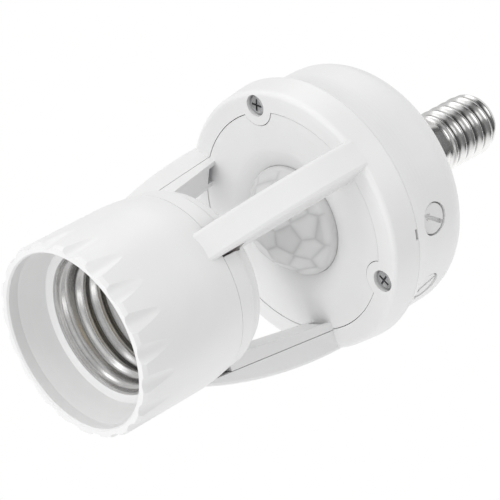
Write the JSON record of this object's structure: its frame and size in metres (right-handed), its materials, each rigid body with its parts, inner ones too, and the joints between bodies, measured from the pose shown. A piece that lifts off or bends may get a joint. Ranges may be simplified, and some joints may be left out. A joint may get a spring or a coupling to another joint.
{
  "type": "motion sensor lamp holder",
  "caption": "Screw-in lamp holder with a motion sensor head, open arms, a domed sensor lens, two adjusters and a socket for a larger screw lamp.",
  "frame": {"origin": "centre of the mouth of the lamp barrel, on the plane of its rim", "axes": "+Z along the common axis from the barrel's mouth to the tip of the small screw cap; the arm seen in front lies on -Y"},
  "size_m": [0.0581, 0.058, 0.1234],
  "materials": {
    "body_white": "satin",
    "lens_milky": "satin, translucent",
    "knob_white": "satin",
    "screw_steel": "zinc plated",
    "trimmer_blue": "satin",
    "board_green": "solder mask",
    "part_black": "moulded",
    "can_nickel": "satin",
    "window_dark": "polished",
    "cell_ceramic": "fired",
    "relay_blue": "moulded",
    "film_yellow": "moulded",
    "sleeve_dark": "heat shrunk sleeve",
    "varistor_blue": "dipped",
    "resistor_green": "lacquered",
    "shell_nickel": "satin",
    "cup_ivory": "satin",
    "contact_brass": "rolled",
    "lead_red": "extruded",
    "lead_blue": "extruded",
    "cap_nickel": "polished",
    "insulator_black": "moulded glass",
    "tip_solder": "polished"
  },
  "bodies": {
    "holder": {"housing_cage": "body_white", "inner_cover": "body_white", "pir_lens": "lens_milky", "lens_retainer": "knob_white", "rear_shell": "body_white", "case_screws": "screw_steel", "time_trimmer": "trimmer_blue", "lux_trimmer": "trimmer_blue", "main_board": "board_green", "board_screws": "screw_steel", "sensor_board": "board_green", "board_header": "part_black", "pir_detector": "can_nickel", "pir_window": "window_dark", "light_cell": "cell_ceramic", "control_chip": "part_black", "relay": "relay_blue", "film_capacitor": "film_yellow", "smoothing_capacitor": "sleeve_dark", "rectifier": "part_black", "regulator": "part_black", "varistor": "varistor_blue", "fuse_resistor": "resistor_green", "e27_shell": "shell_nickel", "socket_cup": "cup_ivory", "centre_contact": "contact_brass", "contact_rivet": "contact_brass", "lamp_live_lead": "lead_red", "lamp_neutral_lead": "lead_blue", "cap_tip_lead": "lead_red", "cap_shell_lead": "lead_blue", "e14_shell": "cap_nickel", "e14_insulator": "insulator_black", "e14_tip": "tip_solder"},
    "time_dial": {"time_knob": "knob_white"},
    "lux_dial": {"lux_knob": "knob_white"}
  },
  "joints": [
    {"name": "time_turn", "type": "hinge", "parent": "holder", "child": "time_dial", "pos_m": [0.01685, -0.0198, 0.07415], "axis": [0.6481, -0.7615, 0], "range_deg": [-72, 138]},
    {"name": "lux_turn", "type": "hinge", "parent": "holder", "child": "lux_dial", "pos_m": [0.02528, -0.00607, 0.07415], "axis": [0.9724, -0.2334, 0], "range_deg": [-135, 75]}
  ]
}
